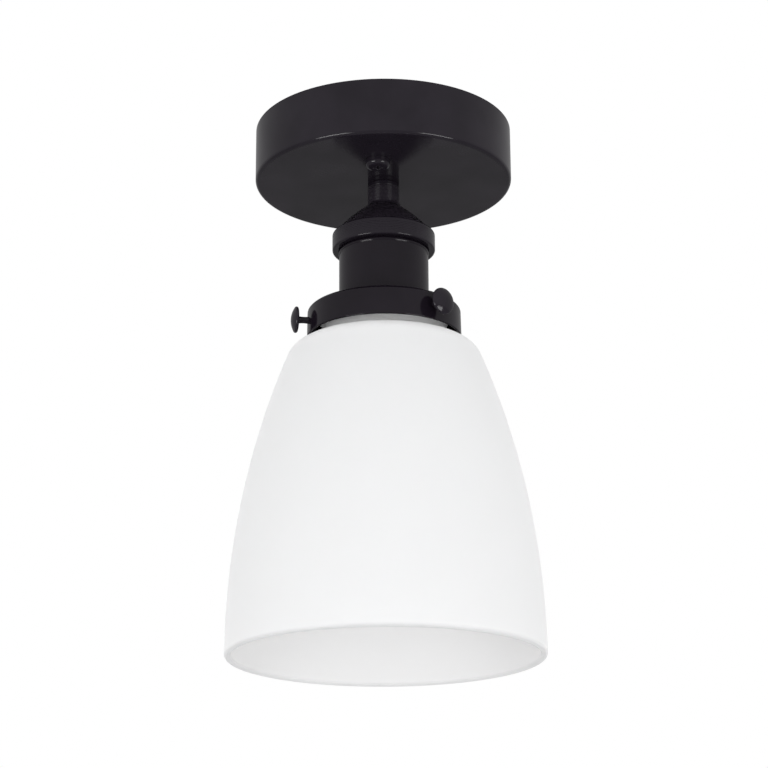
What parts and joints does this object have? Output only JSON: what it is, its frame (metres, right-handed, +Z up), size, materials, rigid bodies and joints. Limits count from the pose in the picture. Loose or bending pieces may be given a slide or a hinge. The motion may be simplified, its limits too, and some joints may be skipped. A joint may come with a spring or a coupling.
{
  "type": "ceiling light",
  "caption": "Semi-flush ceiling light: round satin black canopy, short metal lampholder, and an opal glass bell shade clamped in a gallery by thumb screws.",
  "frame": {"origin": "on the ceiling plane, at the centre of the canopy's rim and of the crossbar's slots", "axes": "+Z up into the ceiling, along the lampholder's axis; +Y along the crossbar; the shade hangs towards -Z"},
  "size_m": [0.1419, 0.1418, 0.2512],
  "materials": {
    "black_paint": "satin black powder coat over steel",
    "black_thumb_screws": "satin black over steel",
    "zinc_steel": "bright zinc plate",
    "green_screw": "green dyed zinc plate",
    "tinned_copper": "tin plate",
    "brass": "bright stamped brass",
    "porcelain": "glazed white porcelain",
    "opal_glass": "opal white blown glass, satin face",
    "black_sleeve": "black insulation",
    "white_sleeve": "white insulation",
    "green_sleeve": "green insulation",
    "bare_copper": "bare stranded copper",
    "white_nylon": "moulded nylon"
  },
  "bodies": {
    "fixture": {"canopy": "black_paint", "canopy_screws": "black_paint", "spacer_collar": "black_paint", "lampholder_cap": "black_paint", "cap_set_screw": "black_paint", "union_ring": "black_paint", "socket_shell": "black_paint", "gallery": "black_paint", "gallery_ring": "black_paint", "crossbar": "zinc_steel", "threaded_nipple": "zinc_steel", "lock_nut": "zinc_steel", "split_washer": "zinc_steel", "terminal_screws": "zinc_steel", "block_screws": "zinc_steel", "ground_screw": "green_screw", "earth_lug": "tinned_copper", "screw_shell": "brass", "contact_anchor": "brass", "contact_rivets": "brass", "pillar_terminals": "brass", "block_tubes": "brass", "porcelain_insulator": "porcelain", "glass_shade": "opal_glass", "live_lead": "black_sleeve", "neutral_lead": "white_sleeve", "earth_lead": "green_sleeve", "lead_ends": "bare_copper", "terminal_block": "white_nylon"},
    "screw_stud_1": {"thumb_screw_stud_1": "black_thumb_screws"},
    "screw_head_1": {"thumb_screw_head_1": "black_thumb_screws"},
    "screw_stud_2": {"thumb_screw_stud_2": "black_thumb_screws"},
    "screw_head_2": {"thumb_screw_head_2": "black_thumb_screws"},
    "screw_stud_3": {"thumb_screw_stud_3": "black_thumb_screws"},
    "screw_head_3": {"thumb_screw_head_3": "black_thumb_screws"},
    "contact_leaf": {"contact_leaf": "brass"}
  },
  "joints": [
    {"name": "thumb_screw_travel_1", "type": "slide", "parent": "fixture", "child": "screw_stud_1", "axis": [0.7071, -0.7071, 0], "range_m": [0, 0.0042]},
    {"name": "thumb_screw_turn_1", "type": "hinge", "parent": "screw_stud_1", "child": "screw_head_1", "pos_m": [0.02949, -0.02949, -0.0957], "axis": [0.7071, -0.7071, 0], "range_deg": [0, 2520]},
    {"name": "thumb_screw_travel_2", "type": "slide", "parent": "fixture", "child": "screw_stud_2", "axis": [0.2588, 0.9659, 0], "range_m": [0, 0.0042]},
    {"name": "thumb_screw_turn_2", "type": "hinge", "parent": "screw_stud_2", "child": "screw_head_2", "pos_m": [0.01079, 0.04028, -0.0957], "axis": [0.2588, 0.9659, 0], "range_deg": [0, 2520]},
    {"name": "thumb_screw_travel_3", "type": "slide", "parent": "fixture", "child": "screw_stud_3", "axis": [-0.9659, -0.2588, 0], "range_m": [0, 0.0042]},
    {"name": "thumb_screw_turn_3", "type": "hinge", "parent": "screw_stud_3", "child": "screw_head_3", "pos_m": [-0.04028, -0.01079, -0.0957], "axis": [-0.9659, -0.2588, 0], "range_deg": [0, 2520]},
    {"name": "contact_leaf_flex", "type": "hinge", "parent": "fixture", "child": "contact_leaf", "pos_m": [0, 0.0062, -0.0713], "axis": [-1, 0, 0], "range_deg": [0, 10], "stiffness_Nm_per_rad": 0.05}
  ],
  "couplings": [
    {"joint": "thumb_screw_turn_1", "follows": "thumb_screw_travel_1", "rad_per_m": 10471},
    {"joint": "thumb_screw_turn_2", "follows": "thumb_screw_travel_2", "rad_per_m": 10471},
    {"joint": "thumb_screw_turn_3", "follows": "thumb_screw_travel_3", "rad_per_m": 10471}
  ]
}
